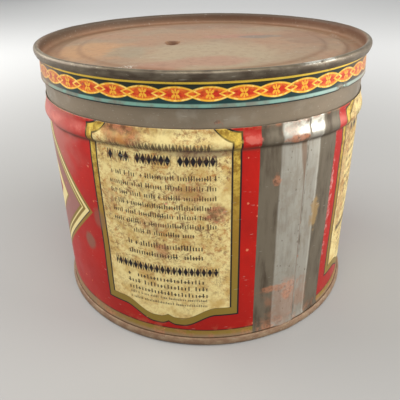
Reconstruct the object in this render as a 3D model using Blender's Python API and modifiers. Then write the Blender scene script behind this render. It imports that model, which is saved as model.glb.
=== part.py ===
"""A key-opened one-pound coffee tin: the can body with its inner collar, and the lift-off lid torn from it.

Metres, +Z up. The origin is the middle of the base and -Y is the front, where the label panel is.
Azimuths are degrees round the tin from the front towards +X. Each sheet of tinplate is drawn as the
line along its middle, in radius and height, turned about the axis and then thickened.
"""

import math

import bmesh
import bpy

MM = 0.001

# Driving dimensions
HEIGHT = 105.0 * MM
RIM_RADIUS = 65.1 * MM
SHEET = 0.28 * MM
SEAM_GAP = 0.22 * MM
SEAM_HEIGHT = 3.2 * MM
LID_EDGE_Z = 93.8 * MM
BODY_EDGE_Z = 87.3 * MM
CREASE_Z = 79.6 * MM
BEAD_SWELL = 1.05 * MM
CREASE_DEPTH = 0.35 * MM
CREASE_RUN = 5.6 * MM
LID_COUNTERSINK = 4.6 * MM
BASE_COUNTERSINK = 4.2 * MM
COLLAR_CLEARANCE = 0.27 * MM
COLLAR_LOW_Z = 80.5 * MM
SEGMENTS = 48
SHARP_ANGLE = math.radians(40)
MERGE_DISTANCE = 0.01 * MM

# Side seams. All turned pieces share one set of facets, so a seam starts on a whole segment.
TURN = 2 * math.pi / SEGMENTS
BODY_LAP_START = math.radians(27.55)
LID_LAP_START = BODY_LAP_START + 19 * TURN
COLLAR_SLIT_START = BODY_LAP_START + 17 * TURN
LAP_WIDTH = 4.6 * MM
LAP_STEP = 0.50 * MM
JOGGLE = 1.1 * MM
COLLAR_SLIT = 0.8 * MM
SOLDER_THICKNESS = 0.16 * MM
SOLDER_WIDTH = 0.9 * MM
SOLDER_GAP = 0.12 * MM

# Radii of the five layers of a double seam, outermost first, each at the middle of its sheet
LAYER = SHEET + SEAM_GAP
OUTER_WALL = RIM_RADIUS - SHEET / 2
BODY_HOOK = OUTER_WALL - LAYER
COVER_HOOK = BODY_HOOK - LAYER
BODY_WALL = COVER_HOOK - LAYER
CHUCK_WALL = BODY_WALL - LAYER

# Corner angles of the bends in a double seam, in degrees from straight outwards
CURL_ANGLES = (0, 36, 72, 108, 144, 180)
TUCK_ANGLES = (180, 240, 300, 360)
HOOK_ANGLES = (0, 60, 120, 180)

# Depths below the crest of a double seam. A bend's corners stop short of its full arc
CURL_ARC = SHEET / 2 + 2 * LAYER * math.sin(math.radians(CURL_ANGLES[2]))
HOOK_ARC = 1.50 * MM
COVER_HOOK_END = 1.60 * MM
BODY_HOOK_END = 2.35 * MM
SEAM_TUCK = SEAM_HEIGHT - SHEET / 2 - LAYER * math.sin(math.radians(HOOK_ANGLES[1]))
SEAM_CLEAR = 0.6 * MM

# The shoulder from the torn edge to the crease: share of the bead's swell, share of its height
BEAD_SHAPE = (
    (-0.10, 1.0),
    (-0.05, 0.75),
    (0.30, 0.60),
    (0.78, 0.44),
    (1.0, 0.30),
    (0.88, 0.18),
    (0.34, 0.08),
)
# The crease and the run below it, back to the plain wall: share of its depth, share of its run
CREASE_SHAPE = ((1.0, 0.0), (0.85, 0.2), (0.35, 0.6), (0.0, 1.0))

# Steps of an end panel: radius and rise above the countersink
PANEL_STEPS = (
    (62.2 * MM, 0.0),
    (57.4 * MM, 0.0),
    (55.8 * MM, 0.7 * MM),
    (49.4 * MM, 0.7 * MM),
    (47.8 * MM, 1.3 * MM),
)
PANEL_CORNER = 0.5 * MM

# The lid's skirt flares towards its torn edge, and the top of the collar leans in to guide the lid
LID_FLARE = 0.40 * MM
FLARE_RUN = 6.0 * MM
COLLAR_LEAN = 0.3 * MM
COLLAR_LEAN_RUN = 1.4 * MM
COLLAR_HEADROOM = 0.3 * MM

# The sealing ring in the hollow of a seam: half its width, and its depths below the crest
COMPOUND_HALF = 0.30 * MM
COMPOUND_TOP = 0.50 * MM
COMPOUND_FOOT = 0.84 * MM


def arc(radius, middle, size, degrees):
    """Points (radius, depth) round a bend of this size, at angles from straight outwards."""
    return [
        (radius + size * math.cos(math.radians(a)), middle - size * math.sin(math.radians(a)))
        for a in degrees
    ]


def end_profile(countersink):
    """Middle line of a can end as (radius, depth below the seam's crest), from its hook to its centre."""
    hook = [(COVER_HOOK, COVER_HOOK_END)]
    tuck = arc(BODY_HOOK, SEAM_TUCK, LAYER, TUCK_ANGLES)
    curl = arc(COVER_HOOK, CURL_ARC, 2 * LAYER, CURL_ANGLES)
    corner = [
        (CHUCK_WALL, countersink - PANEL_CORNER),
        (CHUCK_WALL - 0.4 * PANEL_CORNER, countersink - 0.24 * PANEL_CORNER),
    ]
    panel = [(radius, countersink - rise) for radius, rise in PANEL_STEPS]
    centre = [(0.0, countersink - PANEL_STEPS[-1][1])]
    return hook + tuck + curl + corner + panel + centre


def hook_profile():
    """Middle line of the body sheet inside a double seam, from its hook's end to the wall."""
    return [(BODY_HOOK, BODY_HOOK_END)] + arc(COVER_HOOK, HOOK_ARC, LAYER, HOOK_ANGLES)


def body_profile():
    """Middle line of the can body, from its torn upper edge over the bead and crease to the base seam."""
    bead_height = BODY_EDGE_Z - CREASE_Z
    upper = [(BODY_WALL + BEAD_SWELL * out, CREASE_Z + bead_height * up) for out, up in BEAD_SHAPE]
    upper += [(BODY_WALL - CREASE_DEPTH * dip, CREASE_Z - CREASE_RUN * run) for dip, run in CREASE_SHAPE]
    wall_foot = [(BODY_WALL, SEAM_HEIGHT + SEAM_CLEAR)]
    return upper + wall_foot + hook_profile()[::-1]


def skirt_profile():
    """Middle line of the lid's skirt, from the lid seam down to the edge torn by the key."""
    top = [(radius, HEIGHT - depth) for radius, depth in hook_profile()]
    wall = [(BODY_WALL, HEIGHT - SEAM_HEIGHT - SEAM_CLEAR), (BODY_WALL, LID_EDGE_Z + FLARE_RUN)]
    return top + wall + [(BODY_WALL + LID_FLARE, LID_EDGE_Z)]


def collar_profile():
    """Middle line of the inner collar, whose top leans in to guide the lid."""
    radius = BODY_WALL - SHEET - COLLAR_CLEARANCE
    top = HEIGHT - LID_COUNTERSINK - SHEET / 2 - COLLAR_HEADROOM
    return [(radius - COLLAR_LEAN, top), (radius, top - COLLAR_LEAN_RUN), (radius, COLLAR_LOW_Z)]


def around(radius, azimuth, height):
    return (radius * math.sin(azimuth), -radius * math.cos(azimuth), height)


def material(name, colour, roughness, metallic):
    made = bpy.data.materials.new(name)
    made.use_nodes = True
    shader = made.node_tree.nodes["Principled BSDF"]
    shader.inputs["Base Color"].default_value = (*colour, 1.0)
    shader.inputs["Roughness"].default_value = roughness
    shader.inputs["Metallic"].default_value = metallic
    return made


def add_part(name, mesh, parent, look):
    part = bpy.data.objects.new(name, mesh)
    collection.objects.link(part)
    part.parent = parent
    mesh.materials.append(look)
    return part


def thicken(part, thickness):
    """Gives an open sheet its thickness, half to each side."""
    solidify = part.modifiers.new("sheet", "SOLIDIFY")
    solidify.thickness = thickness
    solidify.offset = 0
    solidify.use_even_offset = True


def shade_round(mesh):
    mesh.shade_smooth()
    mesh.set_sharp_from_angle(angle=SHARP_ANGLE)


def profile_mesh(name, points, closed=False):
    """A chain of edges in the XZ plane, from points of (radius, height)."""
    drawn = bmesh.new()
    vertices = [drawn.verts.new((radius, 0, height)) for radius, height in points]
    pairs = list(zip(vertices, vertices[1:]))
    if closed:
        pairs.append((vertices[-1], vertices[0]))
    for pair in pairs:
        drawn.edges.new(pair)
    mesh = bpy.data.meshes.new(name)
    drawn.to_mesh(mesh)
    drawn.free()
    return mesh


def turned(name, points, parent, look, closed=False):
    """A profile turned right round the axis."""
    part = add_part(name, profile_mesh(name, points, closed), parent, look)
    part.rotation_euler.z = BODY_LAP_START - math.pi / 2
    screw = part.modifiers.new("turn", "SCREW")
    screw.steps = SEGMENTS
    screw.render_steps = SEGMENTS
    screw.use_merge_vertices = True
    screw.merge_threshold = MERGE_DISTANCE
    screw.use_smooth_shade = True
    return part


def rolled(name, points, start, parent, look, slit=0.0, lap=None):
    """A strip rolled round the axis from azimuth start, its two ends parted by a slit.

    lap is a range of heights where the last end steps outwards and lies over the first.
    """
    drawn = bmesh.new()
    column = [drawn.verts.new(around(radius, start, height)) for radius, height in points]
    edges = [drawn.edges.new(pair) for pair in zip(column, column[1:])]
    spun = bmesh.ops.spin(
        drawn,
        geom=column + edges,
        cent=(0, 0, 0),
        axis=(0, 0, 1),
        angle=2 * math.pi,
        steps=SEGMENTS,
    )
    last = [part for part in spun["geom_last"] if isinstance(part, bmesh.types.BMVert)]
    last_edges = [part for part in spun["geom_last"] if isinstance(part, bmesh.types.BMEdge)]
    for vertex in last:
        radius = math.hypot(vertex.co.x, vertex.co.y)
        vertex.co = around(radius, start - slit / radius, vertex.co.z)
    if lap:
        low, high = lap
        chosen = [e for e in last_edges if all(low <= v.co.z <= high for v in e.verts)]
        for azimuth_step in (slit, LAP_WIDTH):
            outwards = LAP_STEP if azimuth_step == slit else 0.0
            made = bmesh.ops.extrude_edge_only(drawn, edges=chosen)["geom"]
            chosen = [part for part in made if isinstance(part, bmesh.types.BMEdge)]
            for vertex in [part for part in made if isinstance(part, bmesh.types.BMVert)]:
                radius = math.hypot(vertex.co.x, vertex.co.y)
                azimuth = math.atan2(vertex.co.x, -vertex.co.y) + azimuth_step / radius
                vertex.co = around(radius + outwards, azimuth, vertex.co.z)
    bmesh.ops.recalc_face_normals(drawn, faces=drawn.faces)
    mesh = bpy.data.meshes.new(name)
    drawn.to_mesh(mesh)
    drawn.free()
    shade_round(mesh)
    part = add_part(name, mesh, parent, look)
    thicken(part, SHEET)
    return part


def seam_solder(name, points, lap_start, parent, look):
    """The bead of solder along the edge of a lapped side seam, on the outside of the sheet."""
    outside = SHEET / 2 + SOLDER_GAP + SOLDER_THICKNESS / 2
    radius = BODY_WALL + outside
    first = lap_start + (LAP_WIDTH + SOLDER_GAP) / radius
    drawn = bmesh.new()
    column = [drawn.verts.new(around(r + outside, first, height)) for r, height in points]
    edges = [drawn.edges.new(pair) for pair in zip(column, column[1:])]
    angle = SOLDER_WIDTH / radius
    bmesh.ops.spin(drawn, geom=column + edges, cent=(0, 0, 0), axis=(0, 0, 1), angle=angle, steps=1)
    bmesh.ops.recalc_face_normals(drawn, faces=drawn.faces)
    mesh = bpy.data.meshes.new(name)
    drawn.to_mesh(mesh)
    drawn.free()
    part = add_part(name, mesh, parent, look)
    thicken(part, SOLDER_THICKNESS)
    return part


def seam_compound(name, crest_height, direction, parent, look):
    """The ring of sealing compound in the hollow between a seam's curl and the body hook."""
    heights = sorted(crest_height + direction * depth for depth in (COMPOUND_TOP, COMPOUND_FOOT))
    outer = COVER_HOOK + COMPOUND_HALF
    inner = COVER_HOOK - COMPOUND_HALF
    ring = [(outer, heights[1]), (outer, heights[0]), (inner, heights[0]), (inner, heights[1])]
    return turned(name, ring, parent, look, closed=True)


def can_end(name, crest_height, direction, countersink, parent, look):
    """A can end whose seam crest is at this height, with the panel in the given direction from it."""
    points = [(r, crest_height + direction * depth) for r, depth in end_profile(countersink)]
    part = turned(name, points, parent, look)
    thicken(part, SHEET)
    return part


for old in list(bpy.data.objects):
    bpy.data.objects.remove(old)
collection = bpy.data.collections.new("coffee_tin")
bpy.context.scene.collection.children.link(collection)

can = bpy.data.objects.new("can_axis", None)
lid = bpy.data.objects.new("lid_axis", None)
for empty in (can, lid):
    collection.objects.link(empty)

red_print = material("red_lithograph", (0.52, 0.03, 0.02), 0.38, 0.1)
band_print = material("border_lithograph", (0.55, 0.16, 0.03), 0.38, 0.1)
bare_plate = material("worn_tinplate", (0.20, 0.16, 0.12), 0.45, 0.8)
lid_plate = material("patinated_tinplate", (0.40, 0.30, 0.21), 0.42, 0.7)
solder = material("side_seam_solder", (0.45, 0.45, 0.42), 0.45, 0.9)
compound = material("seam_compound", (0.05, 0.05, 0.05), 0.8, 0.0)

rolled(
    "body_shell",
    body_profile(),
    BODY_LAP_START,
    can,
    red_print,
    slit=JOGGLE,
    lap=(SEAM_HEIGHT, BODY_EDGE_Z + SHEET),
)
wall = [point for point in body_profile() if point[1] > SEAM_HEIGHT]
seam_solder("body_side_seam_solder", wall, BODY_LAP_START, can, solder)
rolled("inner_collar", collar_profile(), COLLAR_SLIT_START, can, bare_plate, slit=COLLAR_SLIT)
can_end("bottom_end", 0.0, 1, BASE_COUNTERSINK, can, bare_plate)
seam_compound("bottom_seam_compound", 0.0, 1, can, compound)

rolled(
    "lid_skirt",
    skirt_profile(),
    LID_LAP_START,
    lid,
    band_print,
    slit=JOGGLE,
    lap=(LID_EDGE_Z - SHEET, HEIGHT - SEAM_HEIGHT),
)
skirt = [point for point in skirt_profile() if point[1] < HEIGHT - SEAM_HEIGHT]
seam_solder("lid_side_seam_solder", skirt, LID_LAP_START, lid, solder)
can_end("lid_end_panel", HEIGHT, -1, LID_COUNTERSINK, lid, lid_plate)
seam_compound("lid_seam_compound", HEIGHT, -1, lid, compound)
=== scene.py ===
"""The looks of a key-opened coffee tin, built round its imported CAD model.

Lengths are metres, written as millimetres times MM. Azimuths are degrees round the tin, from the front
(-Y) towards +X. Inside the materials every length is in millimetres.
"""

import math
from collections import namedtuple

import bmesh
import bpy
from mathutils import Matrix, Vector, noise


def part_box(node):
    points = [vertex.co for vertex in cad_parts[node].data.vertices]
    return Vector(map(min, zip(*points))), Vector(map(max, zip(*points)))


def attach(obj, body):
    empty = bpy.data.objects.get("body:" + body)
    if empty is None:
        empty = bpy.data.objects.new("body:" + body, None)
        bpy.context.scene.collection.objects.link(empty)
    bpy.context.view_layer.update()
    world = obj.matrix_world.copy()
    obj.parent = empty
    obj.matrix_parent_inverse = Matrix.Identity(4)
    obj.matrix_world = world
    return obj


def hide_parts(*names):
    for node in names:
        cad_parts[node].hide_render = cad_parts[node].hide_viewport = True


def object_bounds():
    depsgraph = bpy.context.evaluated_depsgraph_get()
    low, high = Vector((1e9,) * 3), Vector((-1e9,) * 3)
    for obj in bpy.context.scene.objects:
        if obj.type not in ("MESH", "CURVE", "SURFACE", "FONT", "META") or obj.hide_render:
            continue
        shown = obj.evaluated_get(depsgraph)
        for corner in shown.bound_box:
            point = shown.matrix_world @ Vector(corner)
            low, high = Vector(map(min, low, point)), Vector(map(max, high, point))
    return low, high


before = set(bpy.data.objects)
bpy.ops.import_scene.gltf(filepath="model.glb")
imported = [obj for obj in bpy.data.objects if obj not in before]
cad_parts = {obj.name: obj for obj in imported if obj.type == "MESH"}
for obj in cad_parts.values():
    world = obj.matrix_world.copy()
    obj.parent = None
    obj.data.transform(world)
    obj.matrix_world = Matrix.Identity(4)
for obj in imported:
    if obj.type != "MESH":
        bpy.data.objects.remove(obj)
cad_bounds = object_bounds()

MM = 0.001


def widest(node):
    """Largest distance of a CAD node from the tin's axis."""
    return max(math.hypot(v.co.x, v.co.y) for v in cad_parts[node].data.vertices)


# Sizes that the frame gives
HEIGHT = cad_bounds[1].z
RIM_RADIUS = widest("bottom_end")
COLLAR_RADIUS = widest("inner_collar")
LID_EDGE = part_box("lid_skirt")[0].z
BODY_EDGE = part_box("body_shell")[1].z
COLLAR_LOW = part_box("inner_collar")[0].z
COLLAR_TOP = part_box("inner_collar")[1].z

# The sheet and its folded seams
SHEET = 0.28 * MM
SEAM_GAP = 0.22 * MM
SEAM_HEIGHT = 3.2 * MM
LAYER = SHEET + SEAM_GAP
OUTER_WALL = RIM_RADIUS - SHEET / 2
BODY_HOOK = OUTER_WALL - LAYER
COVER_HOOK = BODY_HOOK - LAYER
BODY_WALL = COVER_HOOK - LAYER
CHUCK_WALL = BODY_WALL - LAYER
CURL_ARC = SHEET / 2 + 2 * LAYER
TUCK_BEND = 0.3 * MM
SEAM_TUCK = SEAM_HEIGHT - SHEET / 2 - TUCK_BEND
HOOK_ARC = 1.5 * MM
COVER_HOOK_END = 1.6 * MM
BODY_HOOK_END = 2.35 * MM
SEAM_CLEAR = 0.6 * MM

# The wall's bead, as shares of its swell and height, and its crease, as shares of its depth and run
CREASE_Z = 79.6 * MM
BEAD_SWELL = 1.05 * MM
CREASE_DEPTH = 0.35 * MM
CREASE_RUN = 5.6 * MM
BEAD_SHAPE = (
    (-0.1, 1),
    (-0.05, 0.75),
    (0.3, 0.6),
    (0.78, 0.44),
    (1, 0.3),
    (0.88, 0.18),
    (0.34, 0.08),
)
CREASE_SHAPE = ((1, 0), (0.85, 0.2), (0.35, 0.6), (0, 1))

# The wall's foot, where it flares onto the seam: share of the flare, height in seam clearances
FOOT_FLARE = 0.45 * MM
FOOT_SHAPE = ((0, 3), (1, 0.4), (0, -0.6), (0, -1.8))

# The lid's flaring skirt, the collar's leaning top, and the recessed ends
LID_FLARE = 0.4 * MM
FLARE_RUN = 6 * MM
COLLAR_LEAN = 0.3 * MM
COLLAR_LEAN_RUN = 1.4 * MM
LID_COUNTERSINK = 4.6 * MM
BASE_COUNTERSINK = 4.2 * MM
PANEL_STEPS = (
    (59.8 * MM, 0),
    (57.4 * MM, 0),
    (55.8 * MM, 0.7 * MM),
    (49.4 * MM, 0.7 * MM),
    (47.8 * MM, 1.3 * MM),
)

# Side seams: where each lap starts, in degrees, and its shape
BODY_LAP_START = 27.55
LID_LAP_START = 170.05
COLLAR_SLIT_START = 155.05
LAP_WIDTH = 4.6 * MM
LAP_RISE = 4.4 * MM
SEAM_SLIT = 0.5 * MM
COLLAR_SLIT = 0.8 * MM

# How far each rounded corner reaches along its sheet
SHOULDER_BEND = 0.45 * MM
PANEL_BEND = 2.4 * MM
BEAD_BEND = 0.9 * MM
FOOT_BEND = 0.25 * MM
SKIRT_BEND = 1 * MM
COLLAR_BEND = 0.5 * MM

# How finely the meshes are cut
BEND_STEP = 18
ROUNDING_POINTS = 5
WALL_SPACING = 1.6 * MM
PANEL_SPACING = 0.8 * MM
BEAD_SPACING = 0.4 * MM
SKIRT_SPACING = 0.45 * MM
COLLAR_SPACING = 1 * MM
COLUMNS = 360
LAP_COLUMNS = 8
RUN_POINTS = 7
SHARP_ANGLE = math.radians(48)
TINY = 1e-6

# Azimuths in degrees and the rest in millimetres. A dent of negative depth is a swelling
Dent = namedtuple("Dent", "azimuth height wide tall depth")
BODY_DENTS = (
    Dent(-31, 79.6, 3.2, 1.6, 0.4),
    Dent(-49.5, 78.4, 2.2, 1.2, 0.45),
    Dent(-46, 77.6, 2, 1.2, 0.35),
    Dent(-64, 78, 5, 3, 0.3),
    Dent(-44, 36, 10, 9, 0.3),
    Dent(6, 60, 16, 20, -0.18),
    Dent(-20, 30, 20, 22, 0.22),
    Dent(118, 52, 14, 18, 0.55),
    Dent(190, 24, 10, 8, 0.5),
    Dent(236, 66, 9, 12, 0.4),
)


def smooth(share):
    share = min(1, max(0, share))
    return share * share * (3 - 2 * share)


def turn_from(azimuth, middle):
    """Degrees from middle to azimuth, the short way round."""
    return (azimuth - middle + 180) % 360 - 180


def ripple(azimuth, size, seed, height=0):
    """Noise from -1 to 1 that closes on itself round the tin. size is its grain in metres."""
    angle = math.radians(azimuth)
    place = Vector((math.sin(angle), -math.cos(angle), 0)) * BODY_WALL / size
    return noise.noise(place + Vector((seed, seed * 1.7, height / size)))


def around(radius, azimuth, height):
    angle = math.radians(azimuth)
    return Vector((radius * math.sin(angle), -radius * math.cos(angle), height))


# ---- profiles


def bend(radius, middle, size, first, last):
    """Points (radius, depth) round a bend, between two angles in degrees from straight outwards."""
    count = max(2, round(abs(last - first) / BEND_STEP))
    angles = [math.radians(first + (last - first) * i / count) for i in range(count + 1)]
    return [(radius + size * math.cos(a), middle - size * math.sin(a)) for a in angles]


def rounded(points, size):
    """A chain of points with each inner corner rounded off."""
    corners = [Vector(point) for point in points]
    line = [corners[0]]
    for before, corner, after in zip(corners, corners[1:], corners[2:]):
        back = min(size, (before - corner).length * 0.48)
        on = min(size, (after - corner).length * 0.48)
        start = corner + (before - corner).normalized() * back
        end = corner + (after - corner).normalized() * on
        for i in range(ROUNDING_POINTS + 1):
            t = i / ROUNDING_POINTS
            line.append(start * (1 - t) ** 2 + corner * 2 * t * (1 - t) + end * t * t)
    return [tuple(point) for point in line + [corners[-1]]]


def spaced(points, spacing):
    """The same chain with no gap between points wider than spacing."""
    line = [points[0]]
    for (r0, h0), (r1, h1) in zip(points, points[1:]):
        count = max(1, math.ceil(math.hypot(r1 - r0, h1 - h0) / spacing))
        for i in range(1, count + 1):
            line.append((r0 + (r1 - r0) * i / count, h0 + (h1 - h0) * i / count))
    return line


def end_profile(countersink):
    """Middle line of a can end, from its hook to its centre, as radius and depth below the crest."""
    hook = [(COVER_HOOK, COVER_HOOK_END)]
    tuck = bend(COVER_HOOK + TUCK_BEND, SEAM_TUCK, TUCK_BEND, 180, 310)
    shoulder = [(COVER_HOOK + 1.6 * LAYER, BODY_HOOK_END), (OUTER_WALL, 0.55 * SEAM_HEIGHT)]
    curl = bend(COVER_HOOK, CURL_ARC, 2 * LAYER, 0, 180)
    outside = rounded([tuck[-1], *shoulder, curl[0]], SHOULDER_BEND)[1:-1]
    panel = [(CHUCK_WALL, CURL_ARC + 0.4 * MM), (CHUCK_WALL, countersink)]
    panel += [(radius, countersink - rise) for radius, rise in PANEL_STEPS]
    panel += [(0, countersink - PANEL_STEPS[-1][1])]
    return hook + tuck + outside + curl + spaced(rounded(panel, PANEL_BEND), PANEL_SPACING)


def hook_profile():
    """Middle line of the sheet folded inside a seam, from the hook's end to the wall."""
    return [(BODY_HOOK, BODY_HOOK_END)] + bend(COVER_HOOK, HOOK_ARC, LAYER, 0, 180)


def body_profile():
    """Middle line of the can body, from the torn edge over the bead and crease to the base seam."""
    bead_height = BODY_EDGE - CREASE_Z
    upper = [(BODY_WALL + BEAD_SWELL * out, CREASE_Z + bead_height * up) for out, up in BEAD_SHAPE]
    crease = [(BODY_WALL - CREASE_DEPTH * dip, CREASE_Z - CREASE_RUN * run)
              for dip, run in CREASE_SHAPE]
    upper = spaced(rounded(upper + crease, BEAD_BEND), BEAD_SPACING)
    foot = [(BODY_WALL + FOOT_FLARE * out, SEAM_HEIGHT + SEAM_CLEAR * up) for out, up in FOOT_SHAPE]
    wall = spaced([upper[-1], foot[0]], WALL_SPACING) + rounded(foot, FOOT_BEND)[1:]
    return upper + wall[1:] + hook_profile()[::-1]


def skirt_profile():
    """Middle line of the lid's skirt, from the lid seam down to the torn edge."""
    top = [(radius, HEIGHT - depth) for radius, depth in hook_profile()]
    wall = [
        (BODY_WALL, HEIGHT - SEAM_HEIGHT - SEAM_CLEAR),
        (BODY_WALL, LID_EDGE + FLARE_RUN),
        (BODY_WALL + LID_FLARE, LID_EDGE),
    ]
    return top + spaced(rounded(wall, SKIRT_BEND), SKIRT_SPACING)


def collar_profile():
    radius = COLLAR_RADIUS - SHEET / 2
    lean = [
        (radius - COLLAR_LEAN, COLLAR_TOP),
        (radius, COLLAR_TOP - COLLAR_LEAN_RUN),
        (radius, COLLAR_LOW),
    ]
    return spaced(rounded(lean, COLLAR_BEND), COLLAR_SPACING)


# ---- shape of the handled tin


def out_of_round(azimuth):
    """How far the whole tin has been squeezed out of true, which keeps its pieces nested."""
    angle = math.radians(azimuth)
    oval = 0.2 * math.sin(2 * angle + 0.6) + 0.1 * math.sin(3 * angle - 1)
    return (oval + 0.12 * ripple(azimuth, 30 * MM, 3.1)) * MM


def dented(azimuth, height, dents):
    depth = 0
    for dent in dents:
        side = turn_from(azimuth, dent.azimuth) * math.radians(1) * BODY_WALL / (dent.wide * MM)
        rise = (height / MM - dent.height) / dent.tall
        depth += dent.depth * MM * math.exp(-(side * side + rise * rise))
    return depth


def torn(azimuth, seed):
    """How far a torn edge wanders up or down."""
    return 0.1 * MM * ripple(azimuth, 9 * MM, seed) + 0.05 * MM * ripple(azimuth, 1.6 * MM, seed + 5)


# Half the width of the swelling where a side seam crosses an end's seam, in degrees
SEAM_BUMP_HALF = 3.4


def seam_bump(azimuth, lap_start):
    """1 where a rolled seam crosses the thick lap of a side seam, fading to 0 beside it."""
    middle = lap_start + math.degrees(LAP_WIDTH / 2 / BODY_WALL)
    return math.exp(-((turn_from(azimuth, middle) / SEAM_BUMP_HALF) ** 2))


def bead_lift(azimuth, height):
    """The bead isn't quite level: it sits higher across the front label than at the sides."""
    front = smooth(1.35 - abs(turn_from(azimuth, -3)) / 42)
    at_bead = math.exp(-(((height / MM - 81) / 3.6) ** 2))
    return (1.2 * front - 0.6) * MM * at_bead


def body_shape(radius, azimuth, height):
    low = SEAM_HEIGHT + SEAM_CLEAR
    wavy = 0.16 * MM * ripple(azimuth, 22 * MM, 8, height) * smooth((height - low) / (12 * MM))
    radius += out_of_round(azimuth) - dented(azimuth, height, BODY_DENTS) + wavy
    near_edge = smooth(1 - (BODY_EDGE - height) / (1.2 * MM))
    return radius, azimuth, height + bead_lift(azimuth, height) + near_edge * torn(azimuth, 2)


# Where the key's tear left a nick in the skirt's edge, in degrees
NICK_AZIMUTH = 43.6


def skirt_shape(radius, azimuth, height):
    near_edge = smooth(1 - (height - LID_EDGE) / (2.2 * MM))
    away = turn_from(azimuth, NICK_AZIMUTH)
    nick = smooth(1 - abs(away - 0.9) / 1.6)
    lifted = smooth((away + 0.6) / 1.2) * smooth(1 - (away - 0.8) / 7)
    radius += out_of_round(azimuth) + near_edge * (0.05 * MM + 0.55 * MM * lifted)
    lift = torn(azimuth, 11) + (0.75 * nick + 0.35 * lifted) * MM
    return radius, azimuth, height + near_edge * lift


def collar_shape(radius, azimuth, height):
    return radius + out_of_round(azimuth), azimuth, height


# Marks in the lid's end: an opener's half-moon, a shallow dish, and dings in its rim
PUNCH = Vector((-11.9 * MM, 1.6 * MM))
PUNCH_HALF = 3.1 * MM
PUNCH_REACH = 8 * MM
PUNCH_DEPTH = 1.5 * MM
DISH = Vector((3 * MM, -25 * MM))
DISH_RADIUS = 30 * MM
RIM_DINGS = (
    Dent(104, 102.6, 2, 1.3, 0.4),
    Dent(111, 103, 1.6, 1.1, 0.3),
    Dent(-46, 102.2, 2.2, 1.2, 0.3),
)


def punched(place):
    """Depth of the half-moon that an opener pressed into the lid: hinged at its curved front."""
    x = (place.x - PUNCH.x) / PUNCH_HALF
    front = PUNCH.y - PUNCH_REACH * math.sqrt(max(0, 1 - x * x))
    if abs(x) >= 1 or not front < place.y < PUNCH.y:
        return 0
    return PUNCH_DEPTH * ((place.y - front) / PUNCH_REACH) ** 0.6


def panel_dip(place):
    """How far the thin lid sags: a shallow dish worn by handling, and small waves."""
    dish = math.exp(-(((place - DISH).length / DISH_RADIUS) ** 4))
    waves = noise.noise(Vector((place.x / (17 * MM), place.y / (17 * MM), 4.2)))
    return (0.22 * dish + 0.16 * waves) * MM


def rim_shape(radius, azimuth, height, crest, direction, lap_start):
    """Both ends are out of round, wavy along the crest and swollen where a side seam crosses."""
    depth = (crest - height) * -direction
    outer = smooth((radius - BODY_WALL) / (1.2 * MM))
    swell = seam_bump(azimuth, lap_start) * outer
    radius += out_of_round(azimuth) + swell * 0.22 * MM
    wavy = 0.09 * MM * ripple(azimuth, 20 * MM, 6) + 0.05 * MM * ripple(azimuth, 7 * MM, 1)
    height += wavy * smooth(1 - depth / (2.4 * MM)) * -direction
    low_edge = smooth((depth - 1.4 * MM) / (1.8 * MM)) * outer
    tuck = 0.3 * MM * swell + 0.1 * MM * ripple(azimuth, 11 * MM, 9)
    return radius, azimuth, height + direction * low_edge * tuck


def lid_end_shape(radius, azimuth, height):
    fade = smooth((CHUCK_WALL - radius) / (7 * MM))
    place = Vector(around(radius, azimuth, 0).xy)
    drop = panel_dip(place) * fade + punched(place)
    radius -= dented(azimuth, height, RIM_DINGS) * smooth((radius - 60 * MM) / (2 * MM))
    radius, azimuth, height = rim_shape(radius, azimuth, height, HEIGHT, -1, LID_LAP_START)
    return radius, azimuth, height - drop


def base_end_shape(radius, azimuth, height):
    fade = smooth((CHUCK_WALL - radius) / (9 * MM))
    place = Vector(around(radius, azimuth, 0).xy)
    waves = 0.2 * MM * noise.noise(Vector((place.x / (22 * MM), place.y / (22 * MM), 9.1)))
    radius, azimuth, height = rim_shape(radius, azimuth, height, 0, 1, BODY_LAP_START)
    return radius, azimuth, max(SHEET / 2, height + waves * fade)


# ---- meshes


def add_object(name, data):
    made = bpy.data.objects.new(name, data)
    bpy.context.scene.collection.objects.link(made)
    return made


def add_piece(name, mesh, coats):
    for coat in coats:
        mesh.materials.append(coat)
    return add_object(name, mesh)


def thicken(piece, inside=0):
    """Gives a sheet its thickness. Its inner face and edges take the material this many slots on."""
    solidify = piece.modifiers.new("sheet", "SOLIDIFY")
    solidify.thickness = SHEET
    solidify.offset = 0
    solidify.use_even_offset = True
    solidify.material_offset = inside
    solidify.material_offset_rim = inside


def finish_mesh(drawn, name):
    mesh = bpy.data.meshes.new(name)
    drawn.to_mesh(mesh)
    drawn.free()
    mesh.shade_smooth()
    mesh.set_sharp_from_angle(angle=SHARP_ANGLE)
    return mesh


def skin(drawn, rows, closed):
    """Faces between neighbouring rows of vertices, which narrow to triangles at a single point."""
    for upper, lower in zip(rows, rows[1:]):
        count = min(len(upper), len(lower))
        for i in range(count if closed else count - 1):
            j = (i + 1) % count
            drawn.faces.new(list(dict.fromkeys([upper[i], lower[i], lower[j], upper[j]])))


def turned(name, points, shape, coats):
    """A line of (radius, height) turned right round the axis, then shaped. It may end on the axis."""
    drawn = bmesh.new()
    rows = []
    for radius, height in points:
        if radius < TINY:
            rows.append([drawn.verts.new(around(*shape(0, 0, height)))] * COLUMNS)
            continue
        azimuths = [360 * i / COLUMNS for i in range(COLUMNS)]
        rows.append([drawn.verts.new(around(*shape(radius, a, height))) for a in azimuths])
    skin(drawn, rows, closed=True)
    return add_piece(name, finish_mesh(drawn, name), coats)


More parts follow.
